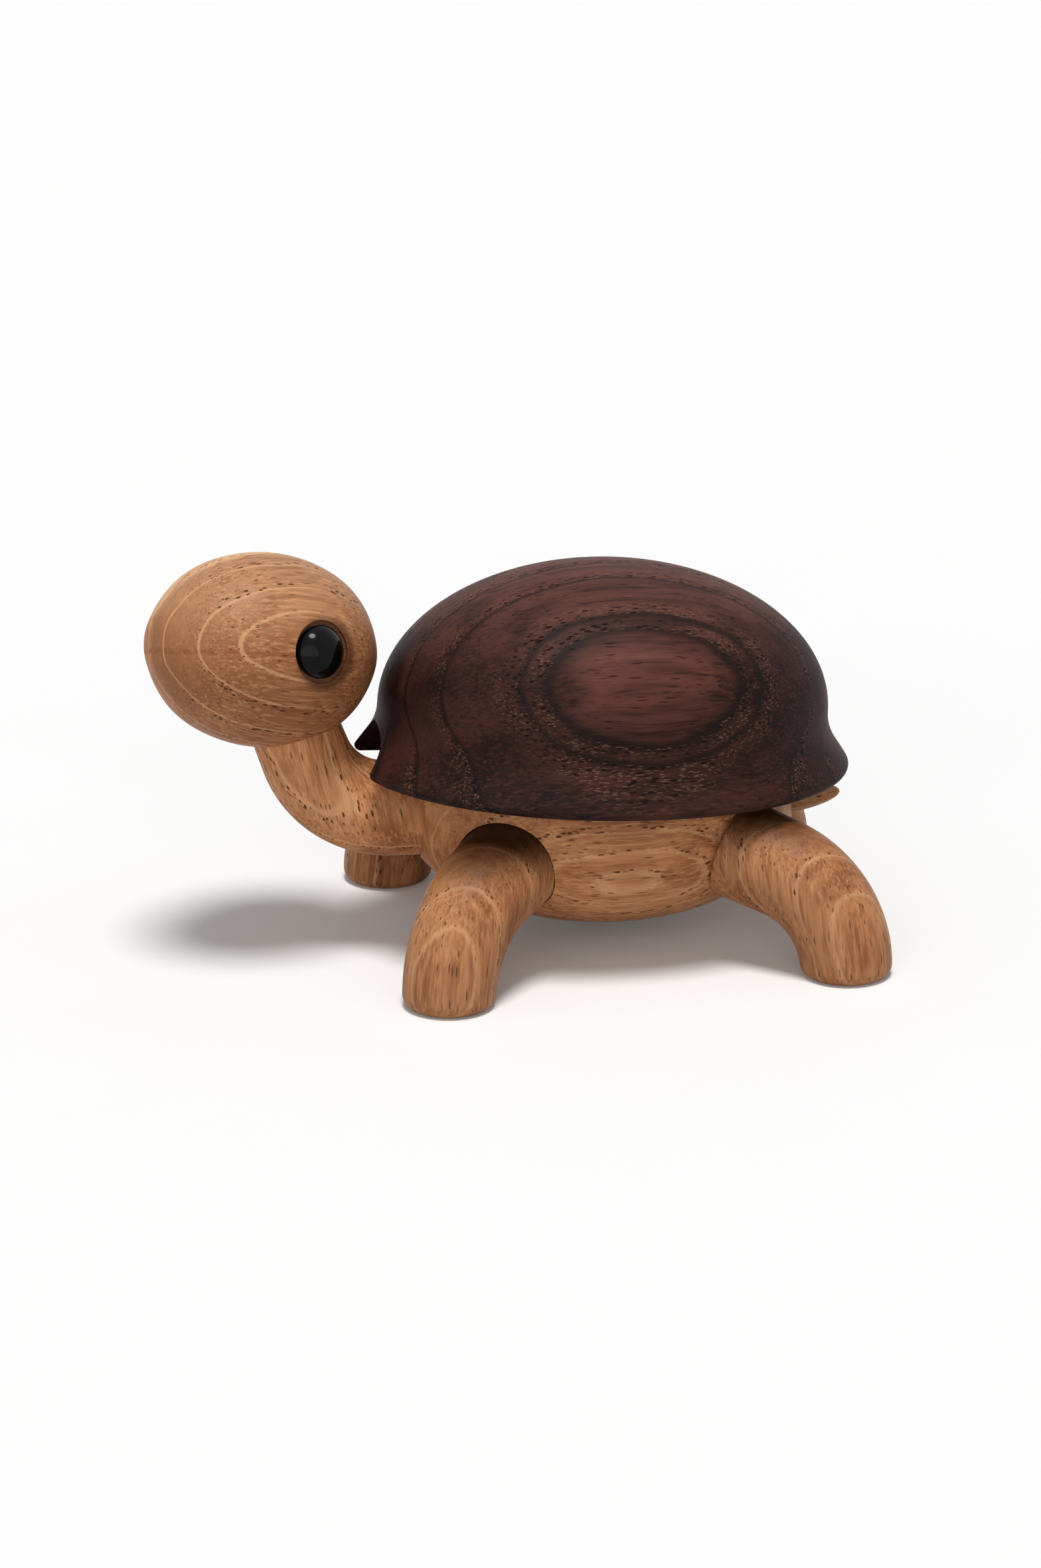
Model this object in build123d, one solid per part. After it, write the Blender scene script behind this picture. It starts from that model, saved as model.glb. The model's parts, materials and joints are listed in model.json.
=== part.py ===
from build123d import *
import os
from math import cos, radians, sin, sqrt, tan

# Wooden turtle figurine: a dark carapace on an oak body, with four bent legs, a bent neck,
# an egg-shaped head with bead eyes and a small tail, all joined with wooden dowels.
# Lengths are millimetres and angles degrees. The turtle faces -Y, its left side is +X and
# the floor is Z = 0. Pieces are made about the middle of the carapace and then moved along Y,
# so that the origin lies under the middle of the whole figurine.

# Joining clearances and shares
GLUE_GAP = 0.05
DOWEL_END_GAP = 0.3
SEAT_GAP = 0.12
SWIVEL_GAP = 0.05
TURN_GAP = 0.15
OVERRUN = 20.0
MIDDLE_SHARE = 0.5
CHAMFER_SHARE = 0.1
NOTCH_START_SHARE = 0.25
OVAL_STEPS = 4

# Carapace
SHELL_LENGTH = 71.5
SHELL_WIDTH = 53.0
RIM_HEIGHT = 24.3
RIM_BAND = 8.5
FLARE_ANGLE = 35.0
FLARE_RADIUS = 8.0
DOME_RISE = 20.3
RIM_EDGE_RADIUS = 0.9
TORSO_PITCH = 2.6

# Body: its outline lies inside the shell's rim, and its top fills the shell's pocket.
BODY_END_INSET = 8.45
BODY_SIDE_INSET = 5.7
BODY_TAPER = 0.5
BELLY_HEIGHT = 2.6
GIRTH_DROP = 7.3
BODY_LENGTH = SHELL_LENGTH - 2 * BODY_END_INSET
BODY_WIDTH = SHELL_WIDTH - 2 * BODY_SIDE_INSET
BODY_TOP_LENGTH = BODY_LENGTH - 2 * BODY_TAPER
GIRTH_HEIGHT = RIM_HEIGHT - GIRTH_DROP

# The shell's pocket and the dowels in it
POCKET_END_ROOM = 1.2
POCKET_SIDE_ROOM = 0.7
POCKET_DEPTH = 7.0
POCKET_LENGTH = BODY_LENGTH + 2 * POCKET_END_ROOM
POCKET_WIDTH = BODY_WIDTH + 2 * POCKET_SIDE_ROOM
SHELL_DOWEL_DIAMETER = 6.0
SHELL_DOWEL_LENGTH = 14.0
SHELL_DOWEL_INSET = 15.3
SHELL_DOWEL_SPACING = BODY_LENGTH - 2 * SHELL_DOWEL_INSET

# Legs: one shape, used four times. The feet keep their places beside the body's ends and sides,
# and the legs stay clear under the rim.
LEG_ROOT_DIAMETER = 14.0
FOOT_DIAMETER = 12.6
LEG_RIM_GAP = 1.7
LEG_STUB = 7.2
LEG_DIP = 15.0
FOOT_STRAIGHT = 0.7
SOLE_RADIUS = 1.7
FRONT_FOOT_SPLAY = 5.3
FRONT_FOOT_INSET = 1.3
FRONT_HEADING = 42.0
REAR_FOOT_SPLAY = 3.4
REAR_FOOT_OUTSET = 2.3
REAR_HEADING = 52.0
LEG_DOWEL_DIAMETER = 5.0
LEG_DOWEL_LENGTH = 16.0
LEG_HEIGHT = RIM_HEIGHT - LEG_ROOT_DIAMETER / 2 - LEG_RIM_GAP
LEG_BEND = (LEG_HEIGHT - LEG_STUB * sin(radians(LEG_DIP)) - FOOT_STRAIGHT) / cos(radians(LEG_DIP))
FRONT_FOOT_SPREAD = BODY_WIDTH + 2 * FRONT_FOOT_SPLAY
FRONT_FOOT_REACH = BODY_LENGTH / 2 - FRONT_FOOT_INSET
REAR_FOOT_SPREAD = BODY_WIDTH + 2 * REAR_FOOT_SPLAY
REAR_FOOT_REACH = BODY_LENGTH / 2 + REAR_FOOT_OUTSET

# Head
HEAD_DIAMETER = 26.6
HEAD_FRONT = 17.0
HEAD_BACK = 16.4
HEAD_PITCH = 11.8
HEAD_TURN = 24.0
HEAD_SINK = 2.7
HEAD_DOWEL_DIAMETER = 6.0
HEAD_DOWEL_LENGTH = 15.0
HEAD_SEAT = HEAD_DIAMETER / 2 - HEAD_SINK

# Neck: it is as long as it takes for the head's back to overhang the shell's front by a set length.
NECK_ROOT_DIAMETER = 13.6
NECK_TOP_DIAMETER = 12.2
NECK_DROP = 4.7
NECK_SINK = 4.1
NECK_BEND = 12.5
NECK_TURN = 70.0
NECK_TIP = 6.0
NECK_DOWEL_DIAMETER = 6.0
NECK_DOWEL_LENGTH = 14.0
HEAD_OVERHANG = 5.13
NECK_HEIGHT = RIM_HEIGHT - NECK_DROP
NECK_SEAT = BODY_LENGTH / 2 - NECK_SINK
NECK_ADVANCE = NECK_BEND * sin(radians(NECK_TURN)) + (NECK_TIP + HEAD_SEAT) * cos(radians(NECK_TURN))
NECK_RUN = SHELL_LENGTH / 2 - HEAD_OVERHANG + HEAD_BACK - NECK_ADVANCE - NECK_SEAT

# The notch over the neck in the shell's front
NOTCH_ROOM = 0.4
NOTCH_RISE = 6.4
NOTCH_WIDTH = NECK_ROOT_DIAMETER + 2 * NOTCH_ROOM

# Eyes
EYE_DIAMETER = 7.2
EYE_SKIRT = 0.5
EYE_CROWN = 2.0
EYE_ROOM = 0.7
EYE_RECESS_DEPTH = 1.2
EYE_LIFT = 5.5
EYE_SETBACK = 1.6
EYE_STEM_DIAMETER = 2.4
EYE_STEM_LENGTH = 5.0
EYE_RECESS_DIAMETER = EYE_DIAMETER + 2 * EYE_ROOM

# Tail
TAIL_WIDTH = 6.0
TAIL_THICKNESS = 4.2
TAIL_LENGTH = 10.8
TAIL_SINK = 3.7
TAIL_DROP = 7.1
TAIL_PITCH = 5.0
TAIL_DOWEL_DIAMETER = 2.0
TAIL_DOWEL_LENGTH = 9.0
TAIL_SEAT = BODY_LENGTH / 2 - TAIL_SINK
TAIL_HEIGHT = RIM_HEIGHT - TAIL_DROP

FRONT = Vector(0, -1, 0)
BACK = Vector(0, 1, 0)
UP = Vector(0, 0, 1)


def along(origin, direction):
    """A plane at origin whose Z axis points along direction."""
    return Plane(origin=origin, z_dir=direction)


def dowel(diameter, length):
    """A dowel along Z, centred, with chamfered ends."""
    pin = Cylinder(diameter / 2, length)
    return chamfer(pin.edges().filter_by(GeomType.CIRCLE), diameter * CHAMFER_SHARE)


def dowel_hole(diameter, length, gap):
    """The cutter for half a dowel on each side of a seam, with room all round and at both ends."""
    return Cylinder(diameter / 2 + gap, length + 2 * DOWEL_END_GAP)


def oval_quarter(half_width, half_height, centre_height):
    """A quarter of an oval, from its side at the centre's height to its end on the turning axis.

    A negative half height gives the quarter below the centre."""
    angles = [radians(90 * step / OVAL_STEPS) for step in range(OVAL_STEPS + 1)]
    points = [(half_width * cos(angle), centre_height + half_height * sin(angle)) for angle in angles]
    return Spline(*points, tangents=[(0, half_height), (-half_width, 0)])


def oval_turned(profile, width_share):
    """A solid turned from a length and height outline, then narrowed across its width."""
    turned = revolve(Plane.YZ * profile, Axis.Z)
    return scale(turned, by=(width_share, 1, 1))


def pitched(shape):
    """The torso leans back a little about the rim, so that its front is the higher end."""
    return shape.rotate(Axis((0, 0, RIM_HEIGHT), (1, 0, 0)), -TORSO_PITCH)


def limb_path(run, bend, turn, tip, side):
    """A limb's middle line: straight along X, an arc up or down (side +1 or -1), a straight end.

    Gives the line, its far end and the direction in which it leaves there."""
    angle = radians(turn)
    ahead = Vector(cos(angle), 0, side * sin(angle))

    def on_arc(share):
        return Vector(run + bend * sin(angle * share), 0, side * bend * (1 - cos(angle * share)))

    end = on_arc(1) + ahead * tip
    line = Wire([
        Line((0, 0, 0), (run, 0, 0)),
        ThreePointArc(on_arc(0), on_arc(MIDDLE_SHARE), on_arc(1)),
        Line(on_arc(1), end),
    ])
    return line, end, ahead


def limb(run, bend, turn, tip, root_diameter, tip_diameter, side):
    """A round bent limb that tapers evenly from its root at the origin to its far end."""
    line, end, ahead = limb_path(run, bend, turn, tip, side)
    root = Plane(origin=(0, 0, 0), x_dir=(0, 1, 0), z_dir=(1, 0, 0)) * Circle(root_diameter / 2)
    far = Plane(origin=end, x_dir=(0, 1, 0), z_dir=ahead) * Circle(tip_diameter / 2)
    return sweep(sections=[root, far], path=line, multisection=True)


def make_carapace():
    """The dome and its flared rim, with a pocket for the body, a neck notch and dowel holes."""
    flare = radians(FLARE_ANGLE)
    fall = FLARE_RADIUS * sin(flare)
    spread = FLARE_RADIUS * (1 - cos(flare))
    rim = SHELL_LENGTH / 2
    waist_height = RIM_HEIGHT + RIM_BAND
    waist = rim - spread - (RIM_BAND - fall) * tan(flare)
    half = flare / 2
    mid = (waist + FLARE_RADIUS * (1 - cos(half)), waist_height - FLARE_RADIUS * sin(half))
    flare_end = (waist + spread, waist_height - fall)
    outline = make_face([
        EllipticalCenterArc((0, waist_height), waist, DOME_RISE, 0, arc_size=90),
        ThreePointArc((waist, waist_height), mid, flare_end),
        Line(flare_end, (rim, RIM_HEIGHT)),
        Line((rim, RIM_HEIGHT), (0, RIM_HEIGHT)),
        Line((0, RIM_HEIGHT), (0, waist_height + DOME_RISE)),
    ])
    outline = fillet(outline.vertices().sort_by(Axis.X)[-1], RIM_EDGE_RADIUS)
    shell = oval_turned(outline, SHELL_WIDTH / SHELL_LENGTH)
    pocket = Pos(0, 0, RIM_HEIGHT - OVERRUN) * extrude(
        Ellipse(POCKET_WIDTH / 2, POCKET_LENGTH / 2), POCKET_DEPTH + OVERRUN)
    arch_height = RIM_HEIGHT + NOTCH_RISE - NOTCH_WIDTH / 2
    arch_start = POCKET_LENGTH * NOTCH_START_SHARE
    arch_length = SHELL_LENGTH / 2 - arch_start + OVERRUN
    notch = along((0, -arch_start, arch_height), FRONT) * Cylinder(
        NOTCH_WIDTH / 2, arch_length, align=(Align.CENTER, Align.CENTER, Align.MIN))
    return pitched(shell - pocket - notch) - shell_dowels(dowel_hole, GLUE_GAP)


def shell_dowels(make, *gap):
    """Both upright dowels between body and carapace, or the holes for them."""
    ceiling = RIM_HEIGHT + POCKET_DEPTH
    ends = [Pos(0, place, ceiling) for place in (-SHELL_DOWEL_SPACING / 2, SHELL_DOWEL_SPACING / 2)]
    return [pitched(end * make(SHELL_DOWEL_DIAMETER, SHELL_DOWEL_LENGTH, *gap)) for end in ends]


def leg_reach():
    """How far a leg's sole lies outward of its root's end face."""
    dip = radians(LEG_DIP)
    return LEG_STUB * cos(dip) + LEG_BEND * (1 - sin(dip))


def leg_seats():
    """The four places of a leg's root: name, middle of the socket's floor and outward direction."""
    seats = []
    for end, spread, length, heading, way in (
        ("front", FRONT_FOOT_SPREAD, FRONT_FOOT_REACH, FRONT_HEADING, -1),
        ("rear", REAR_FOOT_SPREAD, REAR_FOOT_REACH, REAR_HEADING, 1),
    ):
        for side, sign in (("left", 1), ("right", -1)):
            outward = Vector(sign * cos(radians(heading)), way * sin(radians(heading)), 0)
            foot = Vector(sign * spread / 2, way * length, LEG_HEIGHT)
            seats.append((f"{end}_{side}", foot - outward * leg_reach(), outward))
    return seats


def leg_line(seat, outward):
    """The plane of a leg's root, with Z along the root: outward and dipping a little."""
    dip = radians(LEG_DIP)
    return along(seat, outward * cos(dip) - UP * sin(dip))


def make_leg():
    """One leg in its own place: the root's end face at the origin, outward along X."""
    straight = limb(LEG_STUB, LEG_BEND, 90 - LEG_DIP, FOOT_STRAIGHT, LEG_ROOT_DIAMETER, FOOT_DIAMETER, -1)
    leg = Rot(0, LEG_DIP, 0) * straight
    leg = fillet(leg.edges().sort_by(Axis.Z)[0], SOLE_RADIUS)
    return leg - leg_line((0, 0, 0), Vector(1, 0, 0)) * dowel_hole(
        LEG_DOWEL_DIAMETER, LEG_DOWEL_LENGTH, GLUE_GAP)


def neck_plane():
    """Where the neck starts: its X axis points to the turtle's front and its Z axis up."""
    return Plane(origin=(0, -NECK_SEAT, NECK_HEIGHT), x_dir=FRONT, z_dir=UP)


def head_axis():
    """The line about which the head turns, from the middle of the neck's top face."""
    line, end, ahead = limb_path(NECK_RUN, NECK_BEND, NECK_TURN, NECK_TIP, 1)
    plane = neck_plane()
    return Axis(plane.from_local_coords(end), plane.x_dir * ahead.X + plane.z_dir * ahead.Z)


def make_neck():
    """The bent neck, with a dowel hole in its root and one in its top."""
    neck = neck_plane() * limb(
        NECK_RUN, NECK_BEND, NECK_TURN, NECK_TIP, NECK_ROOT_DIAMETER, NECK_TOP_DIAMETER, 1)
    axis = head_axis()
    root_hole = along((0, -NECK_SEAT, NECK_HEIGHT), FRONT) * dowel_hole(
        NECK_DOWEL_DIAMETER, NECK_DOWEL_LENGTH, GLUE_GAP)
    top_hole = along(axis.position, axis.direction) * dowel_hole(
        HEAD_DOWEL_DIAMETER, HEAD_DOWEL_LENGTH, GLUE_GAP)
    return neck - root_hole - top_hole


def make_body():
    """The oak bowl, with a socket for each leg, the neck and the tail, and their dowel holes."""
    girth = BODY_LENGTH / 2
    top = BODY_TOP_LENGTH / 2
    top_height = RIM_HEIGHT + POCKET_DEPTH
    outline = make_face([
        EllipticalCenterArc((0, GIRTH_HEIGHT), girth, GIRTH_HEIGHT - BELLY_HEIGHT, -90, arc_size=90),
        Line((girth, GIRTH_HEIGHT), (top, top_height)),
        Line((top, top_height), (0, top_height)),
        Line((0, top_height), (0, BELLY_HEIGHT)),
    ])
    body = pitched(oval_turned(outline, BODY_WIDTH / BODY_LENGTH)) - shell_dowels(dowel_hole, GLUE_GAP)
    outward_end = (Align.CENTER, Align.CENTER, Align.MIN)
    for name, seat, outward in leg_seats():
        place = leg_line(seat, outward)
        body -= place * Cylinder(LEG_ROOT_DIAMETER / 2 + SEAT_GAP, OVERRUN, align=outward_end)
        body -= place * dowel_hole(LEG_DOWEL_DIAMETER, LEG_DOWEL_LENGTH, GLUE_GAP)
    place = along((0, -NECK_SEAT, NECK_HEIGHT), FRONT)
    body -= place * Cylinder(NECK_ROOT_DIAMETER / 2 + SEAT_GAP, OVERRUN, align=outward_end)
    body -= place * dowel_hole(NECK_DOWEL_DIAMETER, NECK_DOWEL_LENGTH, GLUE_GAP)
    tail_outline = Ellipse(TAIL_WIDTH / 2 + SEAT_GAP, TAIL_THICKNESS / 2 + SEAT_GAP)
    body -= tail_place() * extrude(tail_outline, OVERRUN)
    body -= tail_place() * dowel_hole(TAIL_DOWEL_DIAMETER, TAIL_DOWEL_LENGTH, GLUE_GAP)
    return body


def tail_place():
    """The middle of the tail's root, with Z along the tail and X across it."""
    rise = radians(TAIL_PITCH)
    return Plane(origin=(0, TAIL_SEAT, TAIL_HEIGHT), x_dir=(1, 0, 0), z_dir=(0, cos(rise), sin(rise)))


def make_tail():
    """A flat leaf with a rounded end: half an oval turned on its length, then flattened."""
    outline = make_face([
        EllipticalCenterArc((0, 0), TAIL_WIDTH / 2, TAIL_LENGTH, 0, arc_size=90),
        Line((0, TAIL_LENGTH), (0, 0)),
        Line((0, 0), (TAIL_WIDTH / 2, 0)),
    ])
    leaf = scale(revolve(Plane.XZ * outline, Axis.Z), by=(1, TAIL_THICKNESS / TAIL_WIDTH, 1))
    return tail_place() * (leaf - dowel_hole(TAIL_DOWEL_DIAMETER, TAIL_DOWEL_LENGTH, GLUE_GAP))


def head_posed(shape):
    """Moves a shape from the head's own frame to its place on the neck, turned as it rests."""
    axis = head_axis()
    centre = axis.position + axis.direction * HEAD_SEAT
    level = Pos(centre) * Rot(-HEAD_PITCH, 0, 0) * shape
    return level.rotate(axis, HEAD_TURN)


def eye_place(sign):
    """The middle of an eye's recess floor in the head's own frame, with Z pointing outward."""
    outward = Vector(sign * cos(radians(EYE_LIFT)), 0, sin(radians(EYE_LIFT)))
    side = HEAD_DIAMETER / 2 * sqrt(1 - (EYE_SETBACK / HEAD_BACK) ** 2)
    return along(outward * (side - EYE_RECESS_DEPTH) + BACK * EYE_SETBACK, outward)


def make_head():
    """The egg-shaped head, with a recess for the neck's top, the swivel hole and both eyes' recesses."""
    radius = HEAD_DIAMETER / 2
    outline = make_face([
        oval_quarter(radius, -HEAD_BACK, 0),
        oval_quarter(radius, HEAD_FRONT, 0),
        Line((0, HEAD_FRONT), (0, -HEAD_BACK)),
    ])
    head = Rot(90, 0, 0) * revolve(Plane.YZ * outline, Axis.Z)
    outward_end = (Align.CENTER, Align.CENTER, Align.MIN)
    for sign in (1, -1):
        head -= eye_place(sign) * Cylinder(EYE_RECESS_DIAMETER / 2, OVERRUN, align=outward_end)
        head -= eye_place(sign) * Cylinder(
            EYE_STEM_DIAMETER / 2 + GLUE_GAP, 2 * (EYE_STEM_LENGTH + DOWEL_END_GAP))
    lean = radians(NECK_TURN - HEAD_PITCH)
    swivel = FRONT * cos(lean) + UP * sin(lean)
    head -= along(-swivel * (HEAD_SEAT - TURN_GAP), -swivel) * Cylinder(
        NECK_TOP_DIAMETER / 2 + TURN_GAP, OVERRUN, align=outward_end)
    head -= along(-swivel * HEAD_SEAT, swivel) * dowel_hole(
        HEAD_DOWEL_DIAMETER, HEAD_DOWEL_LENGTH, SWIVEL_GAP)
    return head_posed(head)


def make_eye(sign):
    """A bead eye: a domed button on a stem that is glued into the head."""
    radius = EYE_DIAMETER / 2
    cap = (radius ** 2 + EYE_CROWN ** 2) / (2 * EYE_CROWN)
    ball = Pos(0, 0, EYE_SKIRT + EYE_CROWN - cap) * Sphere(cap)
    button = ball & Cylinder(
        radius, EYE_SKIRT + EYE_CROWN, align=(Align.CENTER, Align.CENTER, Align.MIN))
    stem = Cylinder(
        EYE_STEM_DIAMETER / 2, EYE_STEM_LENGTH, align=(Align.CENTER, Align.CENTER, Align.MAX))
    return head_posed(eye_place(sign) * (button + stem))


def make_pieces():
    """Every piece by name, about the middle of the carapace."""
    axis = head_axis()
    pieces = {
        "carapace": make_carapace(),
        "body": make_body(),
        "neck": make_neck(),
        "head": make_head(),
        "eye_left": make_eye(1),
        "eye_right": make_eye(-1),
        "tail": make_tail(),
        "tail_dowel": tail_place() * dowel(TAIL_DOWEL_DIAMETER, TAIL_DOWEL_LENGTH),
        "neck_dowel": along((0, -NECK_SEAT, NECK_HEIGHT), FRONT) * dowel(
            NECK_DOWEL_DIAMETER, NECK_DOWEL_LENGTH),
        "head_dowel": along(axis.position, axis.direction) * dowel(
            HEAD_DOWEL_DIAMETER, HEAD_DOWEL_LENGTH),
    }
    pieces["carapace_dowel_front"], pieces["carapace_dowel_rear"] = shell_dowels(dowel)
    leg = make_leg()
    for name, seat, outward in leg_seats():
        pieces[f"leg_{name}"] = Plane(origin=seat, x_dir=outward, z_dir=UP) * leg
        pieces[f"leg_dowel_{name}"] = leg_line(seat, outward) * dowel(LEG_DOWEL_DIAMETER, LEG_DOWEL_LENGTH)
    return pieces


pieces = make_pieces()
boxes = [piece.bounding_box() for piece in pieces.values()]
middle = (min(box.min.Y for box in boxes) + max(box.max.Y for box in boxes)) / 2
os.makedirs("parts", exist_ok=True)
for name, piece in pieces.items():
    export_step(Pos(0, -middle, 0) * piece, f"parts/{name}.step")

swivel = head_axis()
print("moved along Y by", -middle)
print("head axis at", swivel.position - Vector(0, middle, 0), "along", swivel.direction)
for name, seat, outward in leg_seats():
    foot = seat + outward * leg_reach() - Vector(0, middle, LEG_HEIGHT)
    print("sole", name, foot)
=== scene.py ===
import json
import math

import bpy
from mathutils import Matrix, Vector


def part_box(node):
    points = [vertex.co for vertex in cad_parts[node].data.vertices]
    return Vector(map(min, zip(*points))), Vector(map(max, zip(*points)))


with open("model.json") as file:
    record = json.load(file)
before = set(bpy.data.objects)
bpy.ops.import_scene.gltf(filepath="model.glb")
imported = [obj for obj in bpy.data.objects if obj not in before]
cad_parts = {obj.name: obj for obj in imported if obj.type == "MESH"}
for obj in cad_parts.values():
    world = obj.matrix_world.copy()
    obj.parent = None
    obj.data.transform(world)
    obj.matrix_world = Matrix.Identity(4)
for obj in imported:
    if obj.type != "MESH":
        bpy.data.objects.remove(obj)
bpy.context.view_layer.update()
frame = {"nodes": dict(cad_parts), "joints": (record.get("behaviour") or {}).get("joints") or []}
nodes = frame["nodes"]

MM = 0.001
UP = Vector((0, 0, 1))
BACK = Vector((0, 1, 0))
WHITE = (1.0, 1.0, 1.0, 1.0)

# The photo's view: azimuth and elevation in degrees, lengths in metres, the sensor and lens in mm.
CAMERA_AZIMUTH = 79.4
CAMERA_ELEVATION = 18.6
CAMERA_DISTANCE = 0.7
CAMERA_TARGET = Vector((-0.008345, 0.004084, 0.019044))
CAMERA_CLIP = (0.01, 50.0)
SENSOR_HEIGHT = 36.0
LENS = 114.16

# Colours are linear. Lines, pores and flecks belong to the growth rings. Line widths are in mm.
OAK = {
    "pale": (0.63, 0.305, 0.136),
    "plain": (0.47, 0.195, 0.078),
    "deep": (0.245, 0.083, 0.029),
    "line": (0.70, 0.390, 0.195),
    "line_share": 0.42,
    "line_width": 0.27,
    "pore": (0.060, 0.018, 0.006),
    "pore_share": 0.88,
    "fleck": (0.74, 0.445, 0.235),
    "fleck_share": 0.40,
    "roughness": 0.40,
    "specular": 0.17,
}
SMOKED = {
    "pale": (0.085, 0.029, 0.021),
    "plain": (0.021, 0.0077, 0.0067),
    "deep": (0.0085, 0.0034, 0.0032),
    "line": (0.006, 0.0030, 0.0028),
    "line_share": 0.75,
    "line_width": 0.50,
    "pore": (0.006, 0.0026, 0.0022),
    "pore_share": 0.88,
    "fleck": (0.190, 0.095, 0.058),
    "fleck_share": 0.62,
    "roughness": 0.46,
    "specular": 0.09,
}
DOWEL = dict(
    OAK, pale=(0.55, 0.36, 0.20), plain=(0.48, 0.29, 0.15), deep=(0.38, 0.21, 0.10), pore_share=0.3,
)
TONES = ("pale", "plain", "deep", "line", "fleck")

# Rings, in mm: the pith's depth under the crest, how far the rings wander, the core of a ring line,
# how far before the line its open-pored band starts and how far behind the line the band is full.
PITH_DEPTH = 70.0
WANDER = 1.5
LINE_CORE = 0.04
BAND_LEAD = 0.05
BAND_RISE = 0.2

# Noise: waves per mm towards the facing, across and along the fibre, then its detail and roughness.
WANDER_NOISE = ((0.10, 0.10, 0.07), 1.5, 0.45)
FINE_NOISE = ((2.6, 2.6, 0.14), 4.0, 0.62)
STREAK_NOISE = ((1.25, 1.25, 0.045), 3.0, 0.6)
BROAD_NOISE = ((0.62, 0.30, 0.030), 3.0, 0.55)
CLOUD_NOISE = ((0.12, 0.12, 0.06), 2.0, 0.5)
NOISE_MIDDLE = (0.5, 0.5, 0.5)

# Vessels as cells per mm across and along the fibre, their width in cells and the share left out.
RING_PITS = (1.80, 0.62, 0.24, 0.05)
RING_FLECKS = (4.0, 0.85, 0.30, 0.20)
STRAY_DASHES = (1.9, 0.20, 0.13, 0.42)
VESSEL_EDGE = 0.13
VESSEL_CHOICE = 0.12

# Smooth steps, as the pattern's value where they start and end, then the shares there if not 0 and 1.
LENGTHWISE = (0.50, 0.92, 1.0, 0.22)
PIT_ROOM = (0.20, 0.60)
FLECK_ROOM = (0.05, 0.50)
FLECK_PATCHES = (0.38, 0.58, 0.15, 1.0)
PLAIN_STREAKS = (0.32, 0.68)
PALE_CLOUDS = (0.42, 0.72, 0.0, 0.5)
TOP_LIGHT_STREAKS = (0.30, 0.60, 0.4, 1.0)
HEART_STREAKS = (0.25, 0.62, 0.35, 1.0)
DARK_STREAKS = (0.50, 0.66, 0.0, 0.60)
PALE_FIBRES = (0.46, 0.70, 0.0, 0.62)
DARK_FIBRES = (0.47, 0.29, 0.0, 0.55)
SEAM_WIDTH = (0.05, 0.60, 0.85, 0.0)
SEAM_BREAKS = (0.34, 0.50)
DASH_SHARE = 0.8

# How far inside its ring the heart is full and ends, in mm.
HEART_FULL = 1.7
HEART_END = 0.1

# How much of its sheen the wood keeps where it is shaded, and of a ring line where it is faint.
DULL_SHARE = 0.25
FAINT_SHARE = 0.25

# What the fibres, pores and flecks add to the roughness and the relief.
FIBRE_ROUGHNESS = 0.16
PORE_ROUGHNESS = 0.25
FIBRE_RELIEF = 0.3
FLECK_RELIEF = 0.35
RELIEF_STRENGTH = 0.5
RELIEF_DEPTH = 0.12 * MM

# Painted shade at the edge of the eye recesses: where it is darkest and where it ends, from a point
# a little below the eye's middle.
HOLLOW_SHADE_EDGE = (4.5 * MM, 5.8 * MM)
HOLLOW_SHADE_DROP = 0.7 * MM
HOLLOW_SHADE_COLOUR = (0.075, 0.024, 0.009)
HOLLOW_SHADE_SHARE = 0.75


def add(tree, kind, **settings):
    item = tree.nodes.new(kind)
    for key, value in settings.items():
        setattr(item, key, value)
    return item


def feed(tree, socket, value):
    """Links a socket to another one, or sets it to a constant."""
    if isinstance(value, bpy.types.NodeSocket):
        tree.links.new(value, socket)
    else:
        socket.default_value = value


def maths(tree, operation, first, second=0.0):
    item = add(tree, "ShaderNodeMath", operation=operation)
    feed(tree, item.inputs[0], first)
    feed(tree, item.inputs[1], second)
    return item.outputs[0]


def times(tree, first, second):
    return maths(tree, "MULTIPLY", first, second)


def vectors(tree, operation, first, second):
    item = add(tree, "ShaderNodeVectorMath", operation=operation)
    feed(tree, item.inputs[0], first)
    feed(tree, item.inputs[1], second)
    return item.outputs["Value" if operation in ("DOT_PRODUCT", "DISTANCE") else "Vector"]


def split(tree, vector):
    item = add(tree, "ShaderNodeSeparateXYZ")
    feed(tree, item.inputs[0], vector)
    return item.outputs


def ramp(tree, value, start, end, low=0.0, high=1.0):
    """A smooth step from low at start to high at end."""
    item = add(tree, "ShaderNodeMapRange", interpolation_type="SMOOTHSTEP")
    for name, number in (("From Min", start), ("From Max", end), ("To Min", low), ("To Max", high)):
        item.inputs[name].default_value = number
    feed(tree, item.inputs["Value"], value)
    return item.outputs["Result"]


def noise(tree, place, kind, output="Fac"):
    """Noise whose coordinates are stretched along each axis."""
    waves, detail, roughness = kind
    item = add(tree, "ShaderNodeTexNoise")
    item.inputs["Scale"].default_value = 1.0
    item.inputs["Detail"].default_value = detail
    item.inputs["Roughness"].default_value = roughness
    feed(tree, item.inputs["Vector"], vectors(tree, "MULTIPLY", place, waves))
    return item.outputs[output]


def mixed(tree, share, first, second):
    """Mixes two colours; a plain colour is given as three linear numbers."""
    item = add(tree, "ShaderNodeMix", data_type="RGBA")
    feed(tree, item.inputs["Factor"], share)
    for socket, value in ((item.inputs[6], first), (item.inputs[7], second)):
        feed(tree, socket, value if isinstance(value, bpy.types.NodeSocket) else (*value, 1.0))
    return item.outputs[2]


def bumped(tree, shader, height, strength, distance):
    bump = add(tree, "ShaderNodeBump")
    bump.inputs["Strength"].default_value = strength
    bump.inputs["Distance"].default_value = distance
    feed(tree, bump.inputs["Height"], height)
    feed(tree, shader.inputs["Normal"], bump.outputs["Normal"])


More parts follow.
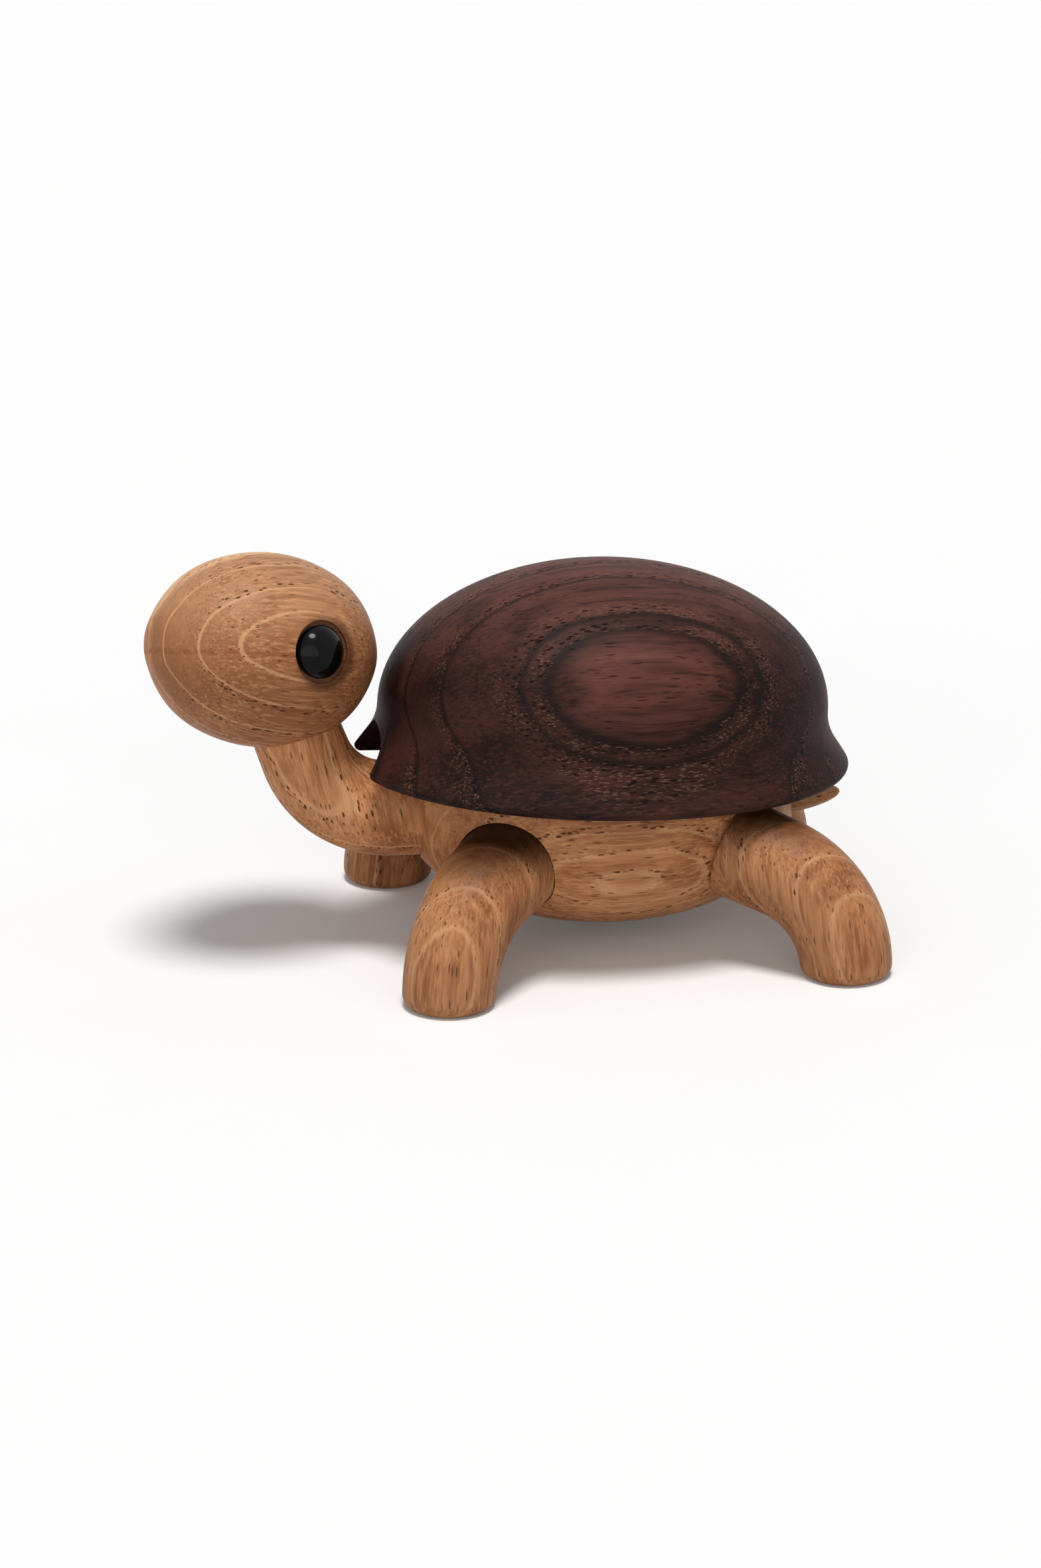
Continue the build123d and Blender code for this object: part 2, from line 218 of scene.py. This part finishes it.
def new_material(name):
    material = bpy.data.materials.new(name)
    material.use_nodes = True
    shader = material.node_tree.nodes["Principled BSDF"]
    return material, material.node_tree, shader


def vessels(tree, place, kind):
    """Thin tubes along the fibre, as the surface cuts them open."""
    across, along, width, left_out = kind
    tubes = add(tree, "ShaderNodeTexVoronoi", feature="F1")
    tubes.inputs["Scale"].default_value = 1.0
    feed(tree, tubes.inputs["Vector"], vectors(tree, "MULTIPLY", place, (across, across, along)))
    spot = ramp(tree, tubes.outputs["Distance"], width, width + VESSEL_EDGE, 1.0, 0.0)
    pick = add(tree, "ShaderNodeSeparateColor")
    feed(tree, pick.inputs[0], tubes.outputs["Color"])
    return times(tree, spot, ramp(tree, pick.outputs[0], left_out, left_out + VESSEL_CHOICE))


def in_log(tree, where, crest, facing, fibre, bow):
    """Places in the log, in mm: out from the pith towards the facing, across and along the fibre."""
    turn = Matrix((facing, fibre.cross(facing), fibre)).transposed()
    log = add(tree, "ShaderNodeMapping", vector_type="TEXTURE")
    log.inputs["Location"].default_value = crest - facing * bow * MM
    log.inputs["Rotation"].default_value = turn.to_euler()
    log.inputs["Scale"].default_value = (MM, MM, MM)
    feed(tree, log.inputs["Vector"], where.outputs["Object"])
    return log.outputs["Vector"]


def wandered(tree, place):
    """Moves places slowly sideways, so that the rings wander."""
    wander = noise(tree, place, WANDER_NOISE, "Color")
    wander = vectors(tree, "SUBTRACT", wander, NOISE_MIDDLE)
    return vectors(tree, "ADD", place, vectors(tree, "MULTIPLY", wander, (WANDER, WANDER, 0.0)))


def ring_depth(tree, out, across, bow):
    """Depth under the crest, counted in rings round the pith."""
    squares = [maths(tree, "POWER", value, 2.0) for value in (out, across)]
    radius = maths(tree, "SQRT", maths(tree, "ADD", *squares))
    return maths(tree, "SUBTRACT", bow, radius) if bow > 0 else maths(tree, "ADD", radius, bow)


def ring_pattern(tree, depth, rings, line_width):
    """A ring starts with a fine line, then an open-pored band that fades into plain wood."""
    line, band = 0.0, 0.0
    for start, width in rings:
        gap = maths(tree, "ABSOLUTE", maths(tree, "SUBTRACT", depth, start))
        line = maths(tree, "MAXIMUM", line, ramp(tree, gap, LINE_CORE, line_width, 1.0, 0.0))
        opening = ramp(tree, depth, start - BAND_LEAD, start + BAND_RISE)
        closing = ramp(tree, depth, start, start + width, 1.0, 0.0)
        band = maths(tree, "MAXIMUM", band, times(tree, opening, closing))
    return line, band


def wood(name, look, crest, facing, fibre, rings, bow=PITH_DEPTH, heart=None, painted_top_light=None, shade=None,
         seam=None, fade=None, shaded_hollows=()):
    """Flat-sawn wood with its growth rings.

    The rings lie in sheets along the fibre, so their ovals close round the crest, the place where
    the sheets face straight out. The crest is in metres. Each ring is the depth of its line under
    the crest and the width of the open-pored band behind it, in mm. The bow is the depth of the
    pith in mm; a negative one lies in front of the crest. The heart is the wood inside one ring: that
    ring's number, a colour and a share. Painted top light, a lighter colour near the top, and
    painted shade over all are each given as the heights in metres where they start and are full, a
    colour and a share. The seam is the place across the fibre, in mm, of a dark streak. The fade is
    where along the fibre, in mm from the crest, the ring lines are faint and where they are full.
    Round each point of the shaded hollows, in metres, shade is painted dark at the hollow's edge."""
    material, tree, shader = new_material(name)
    facing = (facing - fibre * facing.dot(fibre)).normalized()
    where = add(tree, "ShaderNodeTexCoord")
    level = split(tree, where.outputs["Object"])[2]
    place = in_log(tree, where, crest, facing, fibre, bow)
    bent = wandered(tree, place)
    out, across, along = split(tree, bent)
    depth = ring_depth(tree, out, across, bow)
    line, band = ring_pattern(tree, depth, rings, look["line_width"])
    if fade:
        line = times(tree, line, ramp(tree, along, *fade, FAINT_SHARE, 1.0))

    # Streaks along the fibre, from fine to broad, and soft clouds.
    fine = noise(tree, place, FINE_NOISE)
    streak = noise(tree, bent, STREAK_NOISE)
    broad = noise(tree, bent, BROAD_NOISE)
    cloud = noise(tree, place, CLOUD_NOISE)

    # Pits, flecks and streaks show where the surface runs along the fibre more than across it.
    slant = maths(tree, "ABSOLUTE", vectors(tree, "DOT_PRODUCT", where.outputs["Normal"], fibre))
    lengthwise = ramp(tree, slant, *LENGTHWISE)
    open_band = times(tree, band, lengthwise)
    pits = times(tree, vessels(tree, place, RING_PITS), ramp(tree, open_band, *PIT_ROOM))
    flecks = times(tree, vessels(tree, place, RING_FLECKS), ramp(tree, open_band, *FLECK_ROOM))
    flecks = times(tree, flecks, ramp(tree, broad, *FLECK_PATCHES))
    dashes = times(tree, vessels(tree, place, STRAY_DASHES), times(tree, lengthwise, DASH_SHARE))
    pores = maths(tree, "MAXIMUM", pits, dashes)

    # The colour is laid on from the plain wood, with its painted top light, up to its pores, the
    # painted shade at the edges of its hollows and the painted shade over it.
    colour = mixed(tree, ramp(tree, broad, *PLAIN_STREAKS), look["deep"], look["plain"])
    colour = mixed(tree, ramp(tree, cloud, *PALE_CLOUDS), colour, look["pale"])
    # Painted light: the wood grows lighter towards the top, broken up by the broad streaks.
    if painted_top_light:
        start, full, tint, share = painted_top_light
        upper = ramp(tree, level, start, full, 0.0, share)
        colour = mixed(tree, times(tree, upper, ramp(tree, broad, *TOP_LIGHT_STREAKS)), colour, tint)
    if heart:
        number, tint, share = heart
        edge = rings[number][0]
        inner = ramp(tree, depth, edge - HEART_FULL, edge - HEART_END, share, 0.0)
        colour = mixed(tree, times(tree, inner, ramp(tree, broad, *HEART_STREAKS)), colour, tint)
    for pattern, step, tone in (
        (streak, DARK_STREAKS, "deep"),
        (fine, PALE_FIBRES, "pale"),
        (fine, DARK_FIBRES, "deep"),
    ):
        drawn = times(tree, ramp(tree, pattern, *step), lengthwise)
        colour = mixed(tree, drawn, colour, look[tone])
    if seam is not None:
        off = maths(tree, "ABSOLUTE", maths(tree, "SUBTRACT", across, seam))
        dark = times(tree, ramp(tree, off, *SEAM_WIDTH), ramp(tree, streak, *SEAM_BREAKS))
        colour = mixed(tree, dark, colour, look["deep"])
    for pattern, tone in ((line, "line"), (flecks, "fleck"), (pores, "pore")):
        colour = mixed(tree, times(tree, pattern, look[f"{tone}_share"]), colour, look[tone])
    # Painted shade: dark round the edge of each hollow.
    for point in shaded_hollows:
        away = vectors(tree, "DISTANCE", where.outputs["Object"], point)
        hollow_shade = ramp(tree, away, *HOLLOW_SHADE_EDGE, HOLLOW_SHADE_SHARE, 0.0)
        colour = mixed(tree, hollow_shade, colour, HOLLOW_SHADE_COLOUR)
    sheen = look["specular"]
    # Painted shade: darker between the given heights, with less sheen there.
    if shade:
        start, full, tint, share = shade
        colour = mixed(tree, ramp(tree, level, start, full, 0.0, share), colour, tint)
        sheen = ramp(tree, level, start, full, sheen, sheen * DULL_SHARE)
    feed(tree, shader.inputs["Base Color"], colour)
    feed(tree, shader.inputs["Specular IOR Level"], sheen)

    rough = maths(tree, "ADD", times(tree, fine, FIBRE_ROUGHNESS), look["roughness"])
    rough = maths(tree, "ADD", rough, times(tree, pores, PORE_ROUGHNESS))
    feed(tree, shader.inputs["Roughness"], rough)
    relief = maths(tree, "SUBTRACT", times(tree, fine, FIBRE_RELIEF), pores)
    relief = maths(tree, "SUBTRACT", relief, times(tree, flecks, FLECK_RELIEF))
    bumped(tree, shader, relief, RELIEF_STRENGTH, RELIEF_DEPTH)
    return material


def painted_light_copy(look, share):
    """The same wood, made lighter or darker as a copy with painted light or shade."""
    return dict(look, **{key: tuple(part * share for part in look[key]) for key in TONES})


def clad(node, material):
    """Gives a node its material."""
    slots = nodes[node].data.materials
    slots.clear()
    slots.append(material)


def middle(node):
    low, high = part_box(node)
    return (low + high) / 2


# Head: the rings face out at the eyes, and the fibre runs along the head. The head's oak is made
# lighter, with its top lighter still, as painted light; the eye recesses get painted shade at their
# edges.
HEAD_TURN = 24.0
HEAD_PITCH = 11.8
# Painted light: the whole head is a lighter copy of the oak.
HEAD_PAINTED_LIGHT = 1.18
HEAD_LIT_OAK = dict(painted_light_copy(OAK, HEAD_PAINTED_LIGHT), line_share=0.50)
HEAD_RINGS = ((0.3, 0.3), (3.9, 2.0), (8.8, 1.8), (13.0, 1.2), (17.0, 2.0), (22.0, 2.0), (28.0, 2.0))
HEAD_BOW = -7.0
HEAD_HEART = (3, (0.270, 0.098, 0.041), 0.74)
# Painted light on the head's top: from a little above its middle upwards it is lighter and more golden.
HEAD_TOP_LIGHT_START = 2 * MM
HEAD_TOP_LIGHT_END = 3 * MM
HEAD_TOP_LIGHT_COLOUR = (0.86, 0.52, 0.270)
HEAD_TOP_LIGHT_SHARE = 0.85
HEAD_SEAM = -1.4
HEAD_FADE = (-3.0, 4.0)
pitch = math.radians(HEAD_PITCH)
head_axis = Vector(frame["joints"][0]["axis"])
head_fibre = Vector((0, -math.cos(pitch), math.sin(pitch)))
head_fibre.rotate(Matrix.Rotation(math.radians(HEAD_TURN), 3, head_axis))
head_middle = middle("head")
head_crest = middle("eye_left")
head_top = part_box("head")[1].z
head_painted_top_light = (
    head_middle.z + HEAD_TOP_LIGHT_START, head_top - HEAD_TOP_LIGHT_END, HEAD_TOP_LIGHT_COLOUR, HEAD_TOP_LIGHT_SHARE,
)
head_shaded_hollows = [middle(eye) - UP * HOLLOW_SHADE_DROP for eye in ("eye_left", "eye_right")]
head_wood = wood(
    "oak_head", HEAD_LIT_OAK, head_crest, head_crest - head_middle, head_fibre, HEAD_RINGS, bow=HEAD_BOW,
    heart=HEAD_HEART, painted_top_light=head_painted_top_light, seam=HEAD_SEAM, fade=HEAD_FADE, shaded_hollows=head_shaded_hollows,
)
clad("head", head_wood)

# Eyes: black, polished and faintly speckled.
EYE_BLACK = (0.0016, 0.0016, 0.0016)
EYE_SPECK = (0.0034, 0.0033, 0.0032)
EYE_NOISE = ((900.0, 900.0, 900.0), 3.0, 0.5)
EYE_ROUGHNESS = (0.2, 0.8, 0.11, 0.16)
EYE_SPECULAR = 0.11
EYE_RELIEF_STRENGTH = 0.05
EYE_RELIEF_DEPTH = 0.02 * MM
eye_material, eye_tree, eye_shader = new_material("eye_black")
eye_speckle = noise(eye_tree, add(eye_tree, "ShaderNodeTexCoord").outputs["Object"], EYE_NOISE)
feed(eye_tree, eye_shader.inputs["Base Color"], mixed(eye_tree, eye_speckle, EYE_BLACK, EYE_SPECK))
feed(eye_tree, eye_shader.inputs["Roughness"], ramp(eye_tree, eye_speckle, *EYE_ROUGHNESS))
eye_shader.inputs["Specular IOR Level"].default_value = EYE_SPECULAR
bumped(eye_tree, eye_shader, eye_speckle, EYE_RELIEF_STRENGTH, EYE_RELIEF_DEPTH)
clad("eye_left", eye_material)
clad("eye_right", eye_material)

# Carapace: one large oval on its left flank, redder in its heart, and lighter and redder towards
# the top with painted light.
SHELL_CREST = Vector((20.4, 21.6, 42.0)) * MM
SHELL_FACING = Vector((0.868, 0.05, 0.494))
SHELL_FIBRE = Vector((-0.042, 1, -0.024)).normalized()
SHELL_RINGS = (
    (2.1, 1.7), (3.5, 2.4), (9.6, 2.4), (14.6, 2.6), (20.0, 3.0), (26.0, 3.0), (33.0, 3.0), (40.0, 3.0),
)
SHELL_BOW = -100.0
SHELL_HEART = (0, (0.195, 0.066, 0.047), 0.72)
# Painted light on the shell's top: from 40 mm upwards it is lighter and redder.
SHELL_TOP_LIGHT = (40 * MM, 53 * MM, (0.165, 0.060, 0.045), 0.65)
shell_wood = wood(
    "smoked_carapace", SMOKED, SHELL_CREST, SHELL_FACING, SHELL_FIBRE, SHELL_RINGS, bow=SHELL_BOW,
    heart=SHELL_HEART, painted_top_light=SHELL_TOP_LIGHT,
)
clad("carapace", shell_wood)

# Body: long flat ovals on its sides, on a lighter copy of the oak that is painted light.
BODY_PAINTED_LIGHT = 1.27
BODY_LIT_OAK = dict(painted_light_copy(OAK, BODY_PAINTED_LIGHT), line_share=0.30)
BODY_CREST = Vector((20.6, 22.0, 12.6)) * MM
BODY_FACING = Vector((0.96, 0, -0.10))
BODY_RINGS = (
    (0.7, 0.4), (2.4, 0.8), (4.6, 1.6), (8.4, 2.0), (13.0, 2.0), (20.0, 2.0), (28.0, 2.0), (36.0, 2.0),
)
BODY_BOW = -7.0
clad("body", wood("oak_body", BODY_LIT_OAK, BODY_CREST, BODY_FACING, BACK, BODY_RINGS, bow=BODY_BOW))

# Neck: one upright oval on its upper left side, on a lighter copy of the oak that is painted light.
NECK_PAINTED_LIGHT = 1.36
NECK_LIT_OAK = painted_light_copy(OAK, NECK_PAINTED_LIGHT)
NECK_CREST = Vector((6.4, -31.5, 27.0)) * MM
NECK_FACING = Vector((0.98, -0.20, 0))
NECK_FIBRE = Vector((-0.12, -0.20, 0.97)).normalized()
NECK_RINGS = ((1.7, 1.0), (4.2, 1.2), (7.0, 1.4), (10.0, 1.5), (14.0, 2.0), (19.0, 2.0))
clad("neck", wood("oak_neck", NECK_LIT_OAK, NECK_CREST, NECK_FACING, NECK_FIBRE, NECK_RINGS))

# Legs: the fibre runs down to the foot, and the tops close under the shell are darkened with
# painted shade, standing for the shell's shadow.
LEG_FACING = Vector((0.93, 0.30, 0.1))
LEG_FIBRE = Vector((0.16, 0.10, -1))
LEG_RINGS = ((0.1, 0.3), (3.2, 0.8), (9.0, 1.2), (14.0, 2.0))
# Painted shade: the leg tops between these heights are darkened and lose most of their sheen.
LEG_SHADE_HEIGHTS = {"front": (14.8 * MM, 20.5 * MM), "rear": (16.8 * MM, 22.2 * MM)}
LEG_SHADE_COLOUR = (0.022, 0.0065, 0.003)
LEG_SHADE_SHARE = 0.90
LEG_CREST_HEIGHT = 2 * MM
LEG_CREST_STEP = 3 * MM
for end, lengthways in (("front", -1), ("rear", 1)):
    for hand, sideways in (("left", 1), ("right", -1)):
        leg = f"leg_{end}_{hand}"
        side = Vector((sideways, lengthways, 1))
        low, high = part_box(leg)
        outer = high.x if sideways > 0 else low.x
        leg_crest = Vector((outer, middle(leg).y + lengthways * LEG_CREST_STEP, LEG_CREST_HEIGHT))
        leg_wood = wood(
            f"oak_{leg}", OAK, leg_crest, LEG_FACING * side, (LEG_FIBRE * side).normalized(), LEG_RINGS,
            shade=(*LEG_SHADE_HEIGHTS[end], LEG_SHADE_COLOUR, LEG_SHADE_SHARE),
        )
        clad(leg, leg_wood)

# Tail: the fibre runs along it, and the rings lie flat.
TAIL_FACING = Vector((0.2, 0, 1))
TAIL_RINGS = ((0.6, 0.5), (2.0, 0.8))
TAIL_LIFT = 2 * MM
clad("tail", wood("oak_tail", OAK, middle("tail") + UP * TAIL_LIFT, TAIL_FACING, BACK, TAIL_RINGS))

# Dowels: a plain pale wood for all of them.
DOWEL_CREST = Vector((0, 0, 0))
DOWEL_FACING = Vector((1, 0, 0))
DOWEL_FIBRE = Vector((0, 0.3, 1)).normalized()
DOWEL_RINGS = ((1.0, 0.5), (4.0, 0.8), (9.0, 0.8), (16.0, 0.8))
dowel_wood = wood("dowel_wood", DOWEL, DOWEL_CREST, DOWEL_FACING, DOWEL_FIBRE, DOWEL_RINGS)
for node_name in nodes:
    if "dowel" in node_name:
        clad(node_name, dowel_wood)


def background_rays(tree):
    """One for rays that show the background, straight on or by reflection, and zero for light."""
    rays = add(tree, "ShaderNodeLightPath").outputs
    seen = maths(tree, "MAXIMUM", rays["Is Camera Ray"], rays["Is Glossy Ray"])
    return maths(tree, "MAXIMUM", seen, rays["Is Transmission Ray"])


def chosen(tree, share, first, second):
    """The first shader where the share is zero, the second where it is one."""
    choice = add(tree, "ShaderNodeMixShader")
    for socket, value in zip(choice.inputs, (share, first, second)):
        feed(tree, socket, value)
    return choice.outputs[0]


# Floor: it looks white, but throws less light back up at the object than a white one would.
FLOOR_HALF = 4.0
FLOOR_WHITE = (0.93, 0.93, 0.925)
FLOOR_WHITEST = (0.95, 0.95, 0.95)
FLOOR_NOISE = ((30.0, 30.0, 30.0), 2.0, 0.5)
FLOOR_ROUGHNESS = 0.9
FLOOR_GLOW = 0.05
FLOOR_BOUNCE = (0.50, 0.50, 0.50, 1.0)
floor_mesh = bpy.data.meshes.new("floor")
corners = [(x * FLOOR_HALF, y * FLOOR_HALF, 0) for x, y in ((-1, -1), (1, -1), (1, 1), (-1, 1))]
floor_mesh.from_pydata(corners, [], [(0, 1, 2, 3)])
floor = bpy.data.objects.new("floor", floor_mesh)
bpy.context.scene.collection.objects.link(floor)
floor_material, floor_tree, floor_shader = new_material("floor_white")
floor_grain = noise(floor_tree, add(floor_tree, "ShaderNodeTexCoord").outputs["Object"], FLOOR_NOISE)
floor_colour = mixed(floor_tree, floor_grain, FLOOR_WHITE, FLOOR_WHITEST)
feed(floor_tree, floor_shader.inputs["Base Color"], floor_colour)
floor_shader.inputs["Roughness"].default_value = FLOOR_ROUGHNESS
floor_shader.inputs["Specular IOR Level"].default_value = 0.0
floor_shader.inputs["Emission Color"].default_value = WHITE
floor_shader.inputs["Emission Strength"].default_value = FLOOR_GLOW
dim_floor = add(floor_tree, "ShaderNodeBsdfDiffuse")
dim_floor.inputs["Color"].default_value = FLOOR_BOUNCE
floor_surface = chosen(
    floor_tree, background_rays(floor_tree), dim_floor.outputs[0], floor_shader.outputs[0],
)
feed(floor_tree, floor_tree.nodes["Material Output"].inputs["Surface"], floor_surface)
floor_mesh.materials.append(floor_material)

# Light: a key from above, a broad low fill from the camera's side and a soft white room. A lamp's
# direction is given as steps towards the camera, to the camera's right and up.
KEY_STEPS = (0.22, 0.02, 1.0)
FILL_STEPS = (1.0, -0.15, 0.10)
KEY_STRENGTH = 2.20
KEY_SPREAD = 18.0
FILL_STRENGTH = 1.20
FILL_SPREAD = 70.0
ROOM_STRENGTH = 0.24
azimuth, elevation = math.radians(CAMERA_AZIMUTH), math.radians(CAMERA_ELEVATION)
level_back = Vector((math.sin(azimuth), -math.cos(azimuth), 0))
camera_right = Vector((math.cos(azimuth), math.sin(azimuth), 0))
camera_back = level_back * math.cos(elevation) + UP * math.sin(elevation)


def lamp(name, steps, strength, spread):
    """A far lamp; the steps lead from the object to the lamp, spread is its width in degrees."""
    near, right, rise = steps
    direction = level_back * near + camera_right * right + UP * rise
    data = bpy.data.lights.new(name, "SUN")
    data.energy = strength
    data.angle = math.radians(spread)
    thing = bpy.data.objects.new(name, data)
    thing.rotation_euler = direction.to_track_quat("Z", "Y").to_euler()
    bpy.context.scene.collection.objects.link(thing)


lamp("key", KEY_STEPS, KEY_STRENGTH, KEY_SPREAD)
lamp("fill", FILL_STEPS, FILL_STRENGTH, FILL_SPREAD)

world = bpy.data.worlds.new("studio")
bpy.context.scene.world = world
world.use_nodes = True
room = world.node_tree
room_light = room.nodes["Background"]
room_light.inputs["Color"].default_value = WHITE
room_light.inputs["Strength"].default_value = ROOM_STRENGTH
room_white = add(room, "ShaderNodeBackground")
room_white.inputs["Color"].default_value = WHITE
room_white.inputs["Strength"].default_value = 1.0
room_surface = chosen(room, background_rays(room), room_light.outputs[0], room_white.outputs[0])
feed(room, room.nodes["World Output"].inputs["Surface"], room_surface)

camera_data = bpy.data.cameras.new("camera")
camera_data.sensor_fit = "VERTICAL"
camera_data.sensor_height = SENSOR_HEIGHT
camera_data.lens = LENS
camera_data.clip_start, camera_data.clip_end = CAMERA_CLIP
camera = bpy.data.objects.new("camera", camera_data)
camera.location = CAMERA_TARGET + camera_back * CAMERA_DISTANCE
camera.rotation_euler = camera_back.to_track_quat("Z", "Y").to_euler()
bpy.context.scene.collection.objects.link(camera)
bpy.context.scene.camera = camera
bpy.context.scene.view_settings.view_transform = "Standard"
